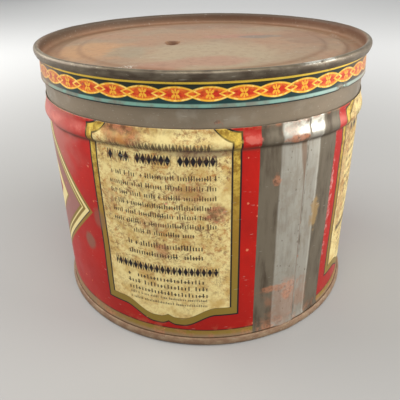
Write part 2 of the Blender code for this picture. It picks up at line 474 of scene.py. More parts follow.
def rolled(name, points, shape, start, coats, slit, lap=None):
    """A strip rolled round the axis. Between the heights in lap its last end lies over its first."""
    turn = 360 - math.degrees(slit / BODY_WALL)
    azimuths = [turn * i / COLUMNS for i in range(COLUMNS + 1)]
    if lap:
        over = 360 - turn + math.degrees(LAP_WIDTH / BODY_WALL)
        azimuths += [turn + over * (i + 1) / LAP_COLUMNS for i in range(LAP_COLUMNS)]
    rise_from = 360 - math.degrees(LAP_RISE / BODY_WALL)
    drawn = bmesh.new()
    rows = []
    for radius, height in points:
        lapped = bool(lap) and lap[0] <= height <= lap[1]
        row = []
        for turned_by in azimuths:
            if turned_by > turn + TINY and not lapped:
                break
            outwards = LAYER * smooth((turned_by - rise_from) / (turn - rise_from)) if lapped else 0
            place = shape(radius, start + turned_by, height)
            row.append(drawn.verts.new(around(place[0] + outwards, place[1], place[2])))
        rows.append(row)
    skin(drawn, rows, closed=False)
    return add_piece(name, finish_mesh(drawn, name), coats)


def solder_bead(name, profile, shape, lap_start, seed, coats):
    """The run of solder along a lap's edge: a flat drop-shaped section that thins and thickens."""
    edge = lap_start + math.degrees(LAP_WIDTH / BODY_WALL)
    drawn = bmesh.new()
    rings = []
    for radius, height in profile:
        flow = noise.noise(Vector((seed, 0, height / (5 * MM))))
        wide = (1 + 0.45 * flow) * MM
        tall = (0.34 + 0.1 * flow) * MM
        ring = []
        top = [i / (RUN_POINTS - 1) for i in range(RUN_POINTS)]
        section = [(share, 0.06 * MM + tall * math.cos(share * math.pi / 2) ** 0.8) for share in top]
        section += [(1, 0.03 * MM), (0, 0.03 * MM)]
        for share, lift in section:
            side = edge + math.degrees((0.1 * MM + wide * share) / BODY_WALL)
            outside, side, level = shape(radius, side, height)
            ring.append(drawn.verts.new(around(outside + SHEET / 2 + lift, side, level)))
        rings.append(ring)
    skin(drawn, rings, closed=True)
    drawn.faces.new(rings[0])
    drawn.faces.new(rings[-1])
    bmesh.ops.recalc_face_normals(drawn, faces=drawn.faces)
    return add_piece(name, finish_mesh(drawn, name), coats)


# ---- material language


def srgb(red, green, blue):
    """A colour from 0-255 screen values, as linear light."""
    shares = [value / 255 for value in (red, green, blue)]
    linear = [s / 12.92 if s <= 0.04045 else ((s + 0.055) / 1.055) ** 2.4 for s in shares]
    return (*linear, 1)


def feed(tree, node, inputs):
    """Fills a node's inputs, by number or by name, from fields or with constants."""
    for slot, value in inputs.items():
        if isinstance(value, Field):
            tree.links.new(value.socket, node.inputs[slot])
        else:
            node.inputs[slot].default_value = value


def add_node(tree, kind, inputs, **settings):
    node = tree.nodes.new(kind)
    for setting, value in settings.items():
        setattr(node, setting, value)
    feed(tree, node, inputs)
    return node


class Field:
    """A number, colour or place that varies over a surface: an output of one of a material's nodes."""

    def __init__(self, tree, socket):
        self.tree = tree
        self.socket = socket

    def math(self, operation, *others, clamp=False):
        inputs = dict(enumerate((self, *others)))
        node = add_node(self.tree, "ShaderNodeMath", inputs, operation=operation, use_clamp=clamp)
        return Field(self.tree, node.outputs[0])

    def __add__(self, other):
        return self.math("ADD", other)

    def __sub__(self, other):
        return self.math("SUBTRACT", other)

    def __mul__(self, other):
        return self.math("MULTIPLY", other)

    def __truediv__(self, other):
        return self.math("DIVIDE", other)

    def __abs__(self):
        return self.math("ABSOLUTE")

    def inverse(self):
        return self.math("MULTIPLY_ADD", -1, 1)

    def floor(self):
        return self.math("FLOOR")

    def power(self, exponent):
        return self.math("POWER", exponent)

    def either(self, other):
        return self.math("MAXIMUM", other)

    def wrap(self, period):
        """The same place within the nearest repeat, from minus to plus half a period."""
        return self.math("WRAP", period / 2, -period / 2)

    def above(self, edge, soft=0.12):
        """1 above edge and 0 below it, with a soft change this wide each side."""
        if isinstance(edge, Field):
            return (self - edge).above(0, soft)
        return self.math("MULTIPLY_ADD", 0.5 / soft, 0.5 - 0.5 * edge / soft, clamp=True)

    def below(self, edge, soft=0.12):
        return self.above(edge, soft).inverse()

    def between(self, low, high, soft=0.12):
        return self.above(low, soft) * self.below(high, soft)

    def near(self, middle, half_width, soft=0.12):
        return abs(self - middle).below(half_width, soft)

    def ease(self, low, high):
        """0 at low to 1 at high, or the other way round where high is less, easing in and out."""
        first, last = (0, 1) if low < high else (1, 0)
        reach = {"From Min": min(low, high), "From Max": max(low, high)}
        inputs = {"Value": self, **reach, "To Min": first, "To Max": last}
        node = add_node(self.tree, "ShaderNodeMapRange", inputs, interpolation_type="SMOOTHSTEP")
        return Field(self.tree, node.outputs[0])


# Degrees round the wall to millimetres, and how far each seed moves a pattern along each axis
MM_PER_DEGREE = 1.11
SEED_SHIFT = (17.3, 5.1, 9.7)


class Coat:
    """One material, laid down in layers. Lengths are millimetres, from the object's own coordinates."""

    def __init__(self, name, colour, roughness, metallic):
        self.material = bpy.data.materials.new(name)
        self.material.use_nodes = True
        self.tree = self.material.node_tree
        self.colour = colour
        self.roughness = roughness
        self.metallic = metallic
        self.relief = None
        place = self.make("ShaderNodeTexCoord", {}, "Object")
        self.point = self.vector("MULTIPLY", place, (1 / MM, 1 / MM, 1 / MM))
        split = add_node(self.tree, "ShaderNodeSeparateXYZ", {0: self.point})
        self.x, self.y, self.z = (Field(self.tree, out) for out in split.outputs)
        self.azimuth = self.x.math("ARCTAN2", self.y * -1) * math.degrees(1)
        self.radius = (self.x * self.x + self.y * self.y).math("SQRT")

    def make(self, kind, inputs, output=0, **settings):
        return Field(self.tree, add_node(self.tree, kind, inputs, **settings).outputs[output])

    def vector(self, operation, first, second):
        return self.make("ShaderNodeVectorMath", {0: first, 1: second}, operation=operation)

    def stretched(self, size, stretch, seed):
        scaled = self.vector("MULTIPLY", self.point, tuple(1 / (size * s) for s in stretch))
        return self.vector("ADD", scaled, tuple(seed * shift for shift in SEED_SHIFT))

    def cloud(self, size, detail=3, grain=0.55, stretch=(1, 1, 1), seed=0):
        """Noise from 0 to 1 with features of about this size, longer along an axis where stretched."""
        look = {"Scale": 1, "Detail": detail, "Roughness": grain}
        return self.make("ShaderNodeTexNoise", {"Vector": self.stretched(size, stretch, seed), **look})

    def specks(self, spacing, size, seed=0, stretch=(1, 1, 1)):
        """1 inside small ragged spots, one to a cell of this spacing, of many sizes up to size."""
        inputs = {"Vector": self.stretched(spacing, stretch, seed), "Scale": 1}
        cells = add_node(self.tree, "ShaderNodeTexVoronoi", inputs)
        shade = self.make("ShaderNodeSeparateColor", {0: Field(self.tree, cells.outputs["Color"])})
        own_size = shade.power(4) * (size / spacing)
        ragged = (self.cloud(size * 0.6, 2, seed=seed + 0.5) - 0.5) * (0.9 * size / spacing)
        distance = Field(self.tree, cells.outputs["Distance"]) + ragged
        return (own_size - distance).above(0, 0.12 * size / spacing)

    def chance(self, first, second, seed):
        """A number from 0 to 1, the same wherever first and second are the same."""
        joined = self.make("ShaderNodeCombineXYZ", {0: first, 1: second, 2: seed})
        return self.make("ShaderNodeTexWhiteNoise", {"Vector": joined}, "Value")

    def turned_from(self, azimuth):
        """Degrees round the tin from an azimuth, the short way."""
        return (self.azimuth - azimuth).wrap(360)

    def patch(self, side, rise, ragged, grain, seed):
        """1 in a ragged patch. side and rise are the distances from its middle over its half sizes."""
        reach = (side * side + rise * rise).math("SQRT")
        return (reach + (self.cloud(grain, 3, seed=seed) - 0.5) * (4 * ragged)).ease(1.15, 0.55)

    def spot(self, azimuth, height, wide, tall, ragged=0.35, grain=4):
        """A ragged patch of wall, given by the place of its middle and its half sizes."""
        side = self.turned_from(azimuth) * (MM_PER_DEGREE / wide)
        return self.patch(side, (self.z - height) / tall, ragged, grain, azimuth * 0.01)

    def spots(self, table, grain):
        """Very ragged patches of wall from a table, each as strong as its share."""
        masks = [self.spot(*spot[:4], ragged=0.5, grain=grain) * spot.share for spot in table]
        together = masks[0]
        for mask in masks[1:]:
            together = together.either(mask)
        return together

    def pool(self, east, north, wide, deep, ragged=0.25, grain=7):
        """A ragged patch of a level face, given in the same way."""
        return self.patch((self.x - east) / wide, (self.y - north) / deep, ragged, grain, east * 0.01)

    def mixed(self, below, above, share):
        """Colour below covered with colour above, as far as share says."""
        return self.make("ShaderNodeMix", {0: share, 6: below, 7: above}, 2, data_type="RGBA")

    def level(self, below, above, share):
        """The same for numbers."""
        return self.make("ShaderNodeMix", {0: share, 2: below, 3: above})

    def lay(self, mask, colour=None, roughness=None, metallic=None, rise=None):
        """Covers what is there with a layer, as far as mask says. rise is its height in millimetres."""
        if colour is not None:
            self.colour = self.mixed(self.colour, colour, mask)
        if roughness is not None:
            self.roughness = self.level(self.roughness, roughness, mask)
        if metallic is not None:
            self.metallic = self.level(self.metallic, metallic, mask)
        if rise is not None:
            lifted = mask * rise
            self.relief = lifted if self.relief is None else self.relief + lifted

    def done(self, specular=0.5):
        """Feeds the layers to the shader, and gives the finished material."""
        look = {
            "Base Color": self.colour,
            "Roughness": self.roughness,
            "Metallic": self.metallic,
            "Specular IOR Level": specular,
        }
        if self.relief is not None:
            relief = {"Strength": 1, "Distance": MM, "Height": self.relief}
            look["Normal"] = self.make("ShaderNodeBump", relief)
        feed(self.tree, self.tree.nodes["Principled BSDF"], look)
        return self.material


# ---- colours

RED = srgb(184, 24, 12)
DEEP_RED = srgb(146, 18, 10)
SHEEN_RED = srgb(176, 96, 84)
WORN_AND_SHEEN_RED = srgb(214, 128, 112)
WORN_GREY = srgb(132, 96, 78)
CHIP_ORANGE = srgb(220, 132, 96)
PALE_SCRAPE = srgb(206, 160, 150)
FADED_BAND = srgb(170, 128, 100)
CREAM = srgb(226, 206, 142)
OLD_CREAM = srgb(196, 164, 98)
GOLD = srgb(152, 116, 42)
OLIVE = srgb(140, 116, 48)
BRIGHT_GOLD = srgb(222, 190, 84)
INK = srgb(20, 20, 26)
STAIN = srgb(112, 72, 48)
ORANGE_STAIN = srgb(178, 118, 62)
TAN_STAIN = srgb(168, 138, 92)
SHADE_AND_GRIME = srgb(100, 74, 66)
RUST = srgb(182, 118, 84)
DARK_RUST = srgb(92, 52, 34)
TIN = srgb(114, 104, 88)
DARK_TIN = srgb(76, 64, 51)
COLLAR_TIN = srgb(142, 127, 107)
BRIGHT_TIN = srgb(186, 182, 168)
WIPED_SOLDER = srgb(170, 165, 153)
GLINT_AND_SOLDER_WHITE = srgb(226, 222, 206)
PLUM = srgb(150, 98, 90)
BAND_GREEN = srgb(30, 36, 18)
BAND_BLUE = srgb(16, 52, 52)
TEAL = srgb(116, 160, 144)
TEAL_GREY = srgb(120, 122, 108)
PALE_TEAL = srgb(172, 196, 184)
ORANGE_RED = srgb(202, 46, 16)
ORANGE = srgb(228, 116, 34)
YELLOW = srgb(238, 178, 50)
BRIGHT_YELLOW = srgb(255, 214, 110)
LINE_YELLOW = srgb(255, 214, 72)
LID_TAN = srgb(162, 124, 92)
LID_GREY = srgb(146, 133, 106)
LID_BEIGE = srgb(168, 149, 117)
LID_ORANGE = srgb(188, 140, 90)
LID_PINK = srgb(166, 117, 92)
LID_BLUE = srgb(120, 114, 100)
LID_BROWN = srgb(116, 82, 58)
SHADED_WALL_BROWN = srgb(98, 64, 44)
FOOT_TAN = srgb(144, 119, 92)
FOOT_BROWN = srgb(122, 92, 68)
STRIPE_GOLD = srgb(146, 116, 60)
COMPOUND_BLACK = srgb(52, 50, 46)
COMPOUND_DUST = srgb(74, 68, 58)
FLOOR_GREY = srgb(158, 156, 152)
FAR_FLOOR = srgb(226, 225, 222)


# ---- print on the body

# Azimuths in degrees, and the rest in millimetres round the wall or up from the base
LABEL_MIDDLES = (-13.2, 74.2, 210.4)
EMBLEM_MIDDLES = (-78.3, 139)
LABEL_HALF = 23.3
FRAME_HALF = 26.1
FRAME_LINE = 0.62
LABEL_FOOT = 17.5
FOOT_SAG = 5.4
LABEL_SHOULDER = 83
FRAME_RISE = 2.7
FRAME_DROP = 3.1
STRIPE_TOP = 6.45
STRIPE_LINE = 0.5

# The diamonds' middle and half sizes, and each ring's size as a share of them
EMBLEM_HEIGHT = 50.5
EMBLEM_HALF_WIDTH = 42
EMBLEM_HALF_HEIGHT = 40
EMBLEM_RINGS = (
    (1, GOLD), (0.962, INK), (0.948, CREAM), (0.895, OLIVE),
    (0.855, CREAM), (0.835, OLIVE), (0.8, PLUM), (0.56, GOLD),
    (0.53, CREAM), (0.36, DEEP_RED), (0.2, GOLD), (0.15, PLUM),
)

# The bare strip at the side seam, in degrees: its middle, its half, its solder and the lap's edge
SEAM_MIDDLE = 31
MARGIN_HALF = 14.85
SOLDER_FROM = -8
SOLDER_TO = 6.8
SOLDER_RIDGE = 6.3
LAP_EDGE = 31.75

# Rows of marks: the height of their top, the drop from each to the next, how many there are, half their
# width, a mark's height and width, and how much of that width is inked
Rows = namedtuple("Rows", "top pitch count half_width tall stroke weight")
FAINT_HEADING = Rows(83, 4.2, 1, 17.2, 3.3, 2.15, 0.62)
HEADINGS = (
    Rows(78.7, 4.2, 1, 18.8, 3.8, 2.05, 0.95),
    Rows(36, 5, 1, 20.4, 4, 2.15, 0.8),
)
WORDING = (
    Rows(72, 3.6, 6, 18.6, 1.9, 0.85, 0.42),
    Rows(50.4, 3.6, 1, 12, 1.9, 0.85, 0.42),
    Rows(45.4, 3.9, 2, 14.2, 2.2, 1, 0.44),
    Rows(30.6, 3.05, 3, 15.6, 1.9, 1.3, 0.36),
    Rows(21.8, 2.4, 2, 15.2, 1.2, 0.66, 0.4),
)


def row_places(coat, across, rows):
    """A point's row and cell, its place across the cell and down the row, and a mask of the rows."""
    down = (coat.z - rows.top) * -1
    line = (down / rows.pitch).floor()
    cell = (across / rows.stroke).floor()
    inside = abs(across).below(rows.half_width) * down.between(0, rows.pitch * rows.count, 0.05)
    return line, cell, across / rows.stroke - cell, down - line * rows.pitch, inside


def dashes(coat, across, rows, seed):
    """Rows of plain upright dashes where a label has its wording: no letters, only its rhythm."""
    line, cell, place, drop, inside = row_places(coat, across, rows)
    kind = coat.chance(cell, line, seed)
    short = coat.chance(cell, line, seed + 0.5).above(0.35, 0.01) * (0.3 * rows.tall)
    bar = abs(place - 0.5).below(rows.weight / 2, 0.09 / rows.stroke)
    upright = drop.between(short, rows.tall, 0.1)
    joint = drop.near(0.66 * rows.tall, 0.12 * rows.tall, 0.1) * kind.between(0.6, 0.9, 0.01) * 0.8
    return (bar * upright).either(joint) * kind.above(0.14, 0.01) * inside


def lozenges(coat, across, rows, seed):
    """A heading's place, filled with a row of upright lozenges parted by hairlines."""
    line, cell, place, drop, inside = row_places(coat, across, rows)
    kind = coat.chance(cell, line, seed)
    reach = abs(place - 0.5) / (0.5 * rows.weight) + abs(drop / (0.5 * rows.tall) - 1)
    hairline = abs(abs(place - 0.5) - 0.5).below(0.09, 0.05) * drop.between(0.2, rows.tall - 0.2, 0.1)
    return reach.below(1, 0.14).either(hairline) * kind.above(0.12, 0.01) * inside


def nearest(coat, middles):
    """Millimetres round the wall from the nearest of some azimuths, with a sign and without one."""
    offsets = [coat.turned_from(middle) * MM_PER_DEGREE for middle in middles]
    across, away = offsets[0], abs(offsets[0])
    for other in offsets[1:]:
        closer = abs(other).below(away, 0.01)
        across = coat.level(across, other, closer)
        away = abs(across)
    return across, away


def lay_labels(coat, mottle):
    """The cream labels: a gold frame lined in black, an ogee foot, notched corners and rows of marks.

    Gives masks of the cream, of the marks on it and of the whole label.
    """
    across, away = nearest(coat, LABEL_MIDDLES)
    sag = away.ease(18.4, 5.6) * FOOT_SAG
    cusp = (away / 2.9).below(0.5, 0.5).power(1.5) * 1.35
    foot = (sag - cusp) * -1 + LABEL_FOOT
    inner_gap = (away * -1 + LABEL_HALF + 0.3).either(0)
    outer_gap = (away * -1 + FRAME_HALF).either(0)
    inner_top = inner_gap * 0.18 + inner_gap * inner_gap * 0.092 + LABEL_SHOULDER
    outer_top = outer_gap * 0.12 + outer_gap * outer_gap * 0.05 + LABEL_SHOULDER + FRAME_RISE
    outer_foot = foot - FRAME_DROP

    def within(half, low, high):
        return away.below(half) * coat.z.above(low) * coat.z.below(high)

    label = within(FRAME_HALF + FRAME_LINE, outer_foot - FRAME_LINE, outer_top + FRAME_LINE)
    gold = within(FRAME_HALF, outer_foot, outer_top)
    lined = within(LABEL_HALF + FRAME_LINE, foot, inner_top + FRAME_LINE)
    cream = within(LABEL_HALF, foot + 0.15, inner_top)
    leaf = coat.cloud(2.2, 4, 0.7, seed=2).ease(0.4, 0.62)
    gilding = coat.mixed(OLIVE, GOLD, coat.z.ease(18, 50))
    gilding = coat.mixed(gilding, BRIGHT_GOLD, leaf * coat.z.ease(45, 88))
    coat.lay(label, INK)
    coat.lay(gold, gilding, 0.38, 0.25)
    coat.lay(lined, INK, metallic=0.05)
    coat.lay(cream, coat.mixed(CREAM, OLD_CREAM, mottle), 0.42, 0.02)
    words = lozenges(coat, across, FAINT_HEADING, 11) * 0.8
    for number, rows in enumerate(HEADINGS):
        words = words.either(lozenges(coat, across, rows, 12 + number))
    for number, rows in enumerate(WORDING):
        words = words.either(dashes(coat, across, rows, 3 + number))
    words = words * cream * coat.cloud(1.3, 3, 0.65, seed=5).ease(0.22, 0.4)
    coat.lay(words, INK)
    return cream, words, label


def lay_emblems(coat):
    """Plain nested diamonds."""
    away = nearest(coat, EMBLEM_MIDDLES)[1]
    reach = away / EMBLEM_HALF_WIDTH + abs(coat.z - EMBLEM_HEIGHT) / EMBLEM_HALF_HEIGHT
    for edge, colour in EMBLEM_RINGS:
        metallic = 0.4 if colour in (GOLD, OLIVE) else 0.02
        coat.lay(reach.below(edge, 0.004), colour, metallic=metallic)


def lay_seam_margin(coat):
    """The unprinted strip down the side seam, with solder wiped over its middle. Gives its mask."""
    side = coat.turned_from(SEAM_MIDDLE)
    bare = abs(side).below(MARGIN_HALF, 0.1)
    coat.lay(bare, INK)
    streaks = coat.cloud(4, 4, 0.6, stretch=(1, 1, 5), seed=8)
    plate = coat.mixed(DARK_TIN, TIN, streaks.ease(0.25, 0.6))
    coat.lay(bare, plate, 0.5, 0.45, rise=-0.02)
    side = side + (coat.cloud(6, 2, stretch=(1, 1, 3), seed=7) - 0.5) * 0.7
    wiped = side.between(SOLDER_FROM, SOLDER_TO, 0.3)
    streaky = coat.cloud(1.6, 4, 0.62, stretch=(1, 1, 7), seed=9)
    banded = coat.cloud(6, 5, 0.7, stretch=(1, 1, 1.5), seed=10)
    solder = coat.mixed(WIPED_SOLDER, BRIGHT_TIN, streaky.ease(0.45, 0.7) * 0.35)
    solder = coat.mixed(solder, TIN, streaky.ease(0.5, 0.34) * 0.22)
    solder = coat.mixed(solder, COLLAR_TIN, banded.ease(0.44, 0.62) * 0.35)
    coat.lay(wiped, solder, 0.38, 0.62, rise=0.04)
    pitted = coat.specks(1.2, 0.35, seed=4, stretch=(1, 1, 1.6))
    coat.lay(wiped * pitted * 0.5, DARK_TIN, 0.6, rise=-0.03)
    coat.lay(wiped * side.near(SOLDER_RIDGE, 0.2, 0.2) * 0.35, GLINT_AND_SOLDER_WHITE)
    edge = coat.turned_from(LAP_EDGE)
    narrowing = coat.z.ease(64, 78) * 1.9 + 0.25
    shadow = edge.between(-2.2, 0.35, 0.3) * abs(edge).below(narrowing, 0.3)
    blotchy = coat.cloud(5, 3, stretch=(1, 1, 3), seed=3).ease(0.2, 0.5)
    coat.lay(shadow * blotchy * 0.7, FOOT_BROWN, 0.6)
    return bare


def body_print():
    coat = Coat("body_print", RED, 0.36, 0.05)
    mottle = coat.cloud(5.5, 5, 0.66, seed=1).ease(0.42, 0.66)
    coat.lay(coat.cloud(26, 2, seed=12).ease(0.35, 0.7) * 0.4, DEEP_RED)
    # Painted shade: the red darkens towards the foot.
    coat.lay(coat.z.ease(58, 12) * 0.5, DEEP_RED)
    coat.lay(coat.cloud(7, 4, 0.6, seed=30).ease(0.45, 0.7) * 0.35, DEEP_RED)
    # Painted sheen: a lighter, pinker patch high on the left of the red.
    coat.lay(coat.spot(-68, 82, 32, 22, 0.2, 9) * 0.8, SHEEN_RED)
    lay_emblems(coat)
    cream, words, label = lay_labels(coat, mottle)
    coat.lay(coat.z.below(STRIPE_TOP + STRIPE_LINE) * 0.75, INK)
    stripe = coat.z.below(STRIPE_TOP)
    olive = coat.cloud(4, 3, seed=3.3).ease(0.4, 0.65)
    coat.lay(stripe, coat.mixed(STRIPE_GOLD, OLIVE, olive), 0.5, 0.3)
    coat.lay(stripe * coat.z.ease(5.2, 3.6).either(coat.azimuth.ease(-22, -48) * 0.8), FOOT_TAN)
    bare = lay_seam_margin(coat)
    level = coat.z - abs(coat.turned_from(-3)).ease(56, 15) * 1.2
    lay_stains(coat, cream, words)
    lay_bead_light_and_wear(coat, level, cream, label, bare)
    lay_chips(coat, cream, bare)
    lay_rust(coat, label, bare)
    scuffs = coat.cloud(0.7, 2, stretch=(6, 6, 1), seed=23).ease(0.7, 0.76)
    coat.lay(scuffs * 0.35, BRIGHT_TIN, 0.45)
    coat.lay(coat.cloud(8, 4, seed=24).ease(0.3, 0.75) * 0.45, roughness=0.58)
    coat.lay(coat.cloud(0.9, 2, seed=25), rise=0.018)
    return coat.done(specular=0.2)


# ---- wear, and painted shade and highlights, on the body

Spot = namedtuple("Spot", "azimuth height wide tall share")
STAINS = (
    Spot(-25, 86.2, 7, 2.4, 0.95),
    Spot(-20, 83.4, 3.4, 2.4, 0.6),
    Spot(-27.5, 83.6, 3, 2.6, 0.5),
    Spot(3.3, 58.5, 4.2, 4, 0.85),
    Spot(-4, 65.5, 7, 4, 0.35),
    Spot(-14.5, 42.5, 3.2, 3.4, 0.6),
    Spot(-17, 52, 6, 3, 0.3),
    Spot(-31, 60, 3, 6, 0.3),
    Spot(55, 70, 5, 16, 0.45),
    Spot(57, 45, 4, 10, 0.45),
)
RUST_SPOTS = (
    Spot(26.5, 22.6, 11.5, 1.8, 0.55),
    Spot(28.8, 19.6, 3, 4.6, 0.6),
    Spot(21.8, 68, 1.6, 2.4, 0.6),
    Spot(27, 81.9, 4.6, 1.5, 0.8),
    Spot(26, 84.6, 3, 2.4, 0.35),
)


def lay_stains(coat, cream, words):
    """Brown freckles and stains in the cream, and two patches worn through the red."""
    freckle = coat.cloud(1.3, 5, 0.8, seed=14).ease(0.46, 0.6)
    freckle = freckle * coat.cloud(9, 2, seed=15).ease(0.26, 0.56)
    freckle = freckle * (coat.z.ease(15, 55) * 0.55 + 0.45)
    shade = coat.mixed(STAIN, ORANGE_STAIN, coat.cloud(4, 2, seed=28).ease(0.4, 0.6))
    coat.lay(freckle * cream * (words * -0.8 + 1) * 0.85, shade, 0.55)
    coat.lay(coat.spot(-24, 85, 9.5, 4.8, 0.4, 4) * cream * 0.9, ORANGE_STAIN)
    broken = coat.cloud(1.4, 4, 0.7, seed=26).ease(0.2, 0.5)
    shade = coat.mixed(STAIN, RUST, coat.cloud(1.8, 4, 0.7, seed=6).ease(0.42, 0.62))
    coat.lay(coat.spots(STAINS, 3) * cream * broken, shade, 0.6)
    worn = coat.spot(-44.7, 36.1, 3.6, 4.2, 0.1).either(coat.spot(-37.3, 49.2, 3.2, 5.2, 0.15) * 0.7)
    coat.lay(worn * 0.75, WORN_GREY, 0.5, 0.2)


def lay_bead_light_and_wear(coat, level, cream, label, bare):
    """Painted shade and dirt in the crease, painted sheen laid as worn print on the bead, and a painted
    highlight on the bare strip's bead. level is the height beside the bead.
    """
    # Painted shade, with some dirt, darkens the crease all round; a purple-brown band of it lies across
    # the front label.
    crease = level.near(CREASE_Z / MM - 0.4, 0.55, 0.6)
    crease_shade_and_grime = crease * coat.cloud(7, 3, stretch=(1, 1, 0.5), seed=16).ease(0.1, 0.5)
    coat.lay(crease_shade_and_grime * 0.8, DARK_TIN, 0.65)
    coat.lay(coat.spot(-1, 79.3, 13, 1.5, 0.35, 3) * cream * 0.6, SHADE_AND_GRIME, 0.65)
    # Painted sheen along the bead's upper slope and in a spot on the front, laid as lighter, worn print
    # on the red, the gold and the cream.
    bead_sheen_and_rub = level.between(81.6, 84.4, 1.1) * coat.cloud(6, 4, seed=17).ease(0.35, 0.65)
    bead_sheen_and_rub = (bead_sheen_and_rub * bare.inverse()).either(coat.spot(13.5, 83.2, 3.6, 1.5, 0.6, 2) * 0.8)
    coat.lay(bead_sheen_and_rub * label.inverse() * 0.6, WORN_AND_SHEEN_RED, 0.42)
    coat.lay(bead_sheen_and_rub * label * cream.inverse() * 0.6, BRIGHT_GOLD)
    coat.lay(bead_sheen_and_rub * cream * 0.35, CREAM)
    # Painted highlight on the upper part of the bead where it crosses the bare strip.
    solder_bead_highlight = level.between(82.2, 86.6, 0.8) * coat.cloud(3, 4, seed=27).ease(0.28, 0.5)
    coat.lay(solder_bead_highlight * bare * coat.azimuth.between(23, 38, 0.6), GLINT_AND_SOLDER_WHITE, 0.3)


def lay_chips(coat, cream, bare):
    """Chips in the print, and a scrape down it beside the bare strip."""
    chips = coat.specks(8, 1, seed=18) * bare.inverse()
    coat.lay(chips * 0.8, WORN_AND_SHEEN_RED, 0.5, rise=-0.03)
    fine_chips = coat.specks(3.4, 0.6, seed=19) * bare.inverse()
    coat.lay(fine_chips * cream.inverse() * 0.7, CHIP_ORANGE, 0.5)
    scraped = coat.cloud(1.6, 4, 0.7, seed=31).ease(0.4, 0.6)
    coat.lay(scraped * coat.spot(46.6, 52, 0.9, 24, 0.8, 2) * 0.6, PALE_SCRAPE, 0.5)


def lay_rust(coat, label, bare):
    """Rust at the torn edge, along the foot and in spots on the bare strip."""
    edge = coat.z.above(86.6, 0.5) * coat.cloud(2.6, 4, seed=20).ease(0.42, 0.6) * label.inverse()
    low = coat.z.below(7.5, 3) * coat.cloud(5, 4, seed=21).ease(0.5, 0.64)
    rust = (edge * 0.6).either(low * 0.55).either(coat.spots(RUST_SPOTS, 2.5))
    coat.lay(coat.spot(29, 14, 10, 11, 0.5, 4) * bare * 0.32, RUST, 0.6)
    coat.lay(coat.spot(38.2, 50, 2.3, 6.5, 0.5, 2.5) * bare * 0.8, TAN_STAIN, 0.6)
    rust = rust * coat.cloud(0.9, 4, 0.7, seed=29).ease(0.15, 0.5)
    shade = coat.mixed(RUST, DARK_RUST, coat.cloud(1.2, 4, 0.7, seed=22).ease(0.45, 0.7))
    coat.lay(rust, shade, 0.85, 0, rise=0.03)


# ---- print on the lid's band

CHAIN_PITCH = 9
CHAIN_CROSSING = -2.65
CHAIN_MIDDLE = 98.15
CHAIN_HALF = 1.95
OVAL_HALF = 6.9
CHAIN_LINE = 0.26
YELLOW_MIDDLE = 101.3
YELLOW_HALF = 0.32
DARK_FROM = 101.75
TEAL_LOW = 94.15
TEAL_HIGH = 95.2


def band_print():
    """A chain of pointed ovals with a floret in each, between a yellow and a teal line."""
    coat = Coat("band_print", BAND_GREEN, 0.36, 0.05)
    side = (coat.azimuth - CHAIN_CROSSING - CHAIN_PITCH / 2).wrap(CHAIN_PITCH) * MM_PER_DEGREE
    rise = coat.z - CHAIN_MIDDLE
    next_side = abs(side) - CHAIN_PITCH * MM_PER_DEGREE

    def out_of_oval(offset):
        return abs(rise) - (offset * offset * (-CHAIN_HALF / OVAL_HALF**2) + CHAIN_HALF)

    own, neighbour = out_of_oval(side), out_of_oval(next_side)
    coat.lay(rise.below(-1.6, 0.5), BAND_BLUE)
    depth = own.math("MINIMUM", neighbour)
    inside = depth.below(0, 0.08)
    faded = coat.cloud(3, 3, seed=1).ease(0.4, 0.7)
    orange = coat.mixed(ORANGE, ORANGE_RED, depth.ease(-0.55, -1.25) * (faded * -0.5 + 1))
    mottled = coat.cloud(0.9, 3, 0.7, seed=12).ease(0.45, 0.62) * 0.45
    coat.lay(inside, coat.mixed(orange, DEEP_RED, mottled))
    outline = own.near(0, CHAIN_LINE, 0.12).either(neighbour.near(0, CHAIN_LINE, 0.12))
    coat.lay(outline, coat.mixed(YELLOW, BRIGHT_YELLOW, coat.cloud(1.3, 2, seed=4).ease(0.45, 0.65)))
    angle = rise.math("ARCTAN2", side * 1.7)
    reach = (side * side + rise * rise).math("SQRT")
    petal = abs((angle * 3).math("SINE")) * 1.35 + 0.55
    floret = (petal - reach).above(0.3, 0.14) * reach.above(0.26, 0.1)
    coat.lay(floret * 0.9, YELLOW)
    coat.lay(coat.z.near(YELLOW_MIDDLE, YELLOW_HALF, 0.1), LINE_YELLOW)
    coat.lay(coat.z.above(DARK_FROM, 0.12), DARK_TIN, 0.5, 0.5)
    teal = coat.mixed(TEAL, TEAL_GREY, coat.cloud(7, 4, seed=2).ease(0.42, 0.62))
    lit = coat.azimuth.ease(5, 45) * coat.azimuth.ease(95, 60)
    teal = coat.mixed(teal, PALE_TEAL, lit * 0.7)
    coat.lay(coat.z.between(TEAL_LOW, TEAL_HIGH, 0.16), teal)
    # Painted shadow: a dark ink line along the skirt's torn lower edge.
    coat.lay(coat.z.below(TEAL_LOW - 0.05, 0.12) * 0.7, INK, 0.5)
    seam = abs(coat.turned_from(LID_LAP_START + 2.5)).below(7.5, 0.15)
    coat.lay(seam, TIN, 0.48, 0.55)
    left = abs(coat.turned_from(-72)).below(18, 12)
    right = abs(coat.turned_from(72)).below(15, 12)
    coat.lay(left.either(right) * 0.65, FADED_BAND, 0.55)
    chips = coat.specks(3, 0.4, seed=5)
    coat.lay(chips * 0.5, TIN, 0.5, 0.3)
    nick = abs(coat.turned_from(NICK_AZIMUTH + 1)).below(3, 1.2) * coat.z.below(95.8, 0.8)
    coat.lay(nick * coat.cloud(1, 3, seed=8).ease(0.35, 0.55), TIN, 0.5, 0.5)
    rusty = coat.cloud(2.5, 5, 0.7, seed=6).ease(0.6, 0.72)
    coat.lay(rusty * 0.7, DARK_RUST, 0.8)
    coat.lay(coat.cloud(6, 3, seed=7).ease(0.3, 0.7) * 0.4, roughness=0.55)
    coat.lay(coat.cloud(0.9, 2, seed=9), rise=0.02)
    return coat.done(specular=0.3)


# ---- bare metal


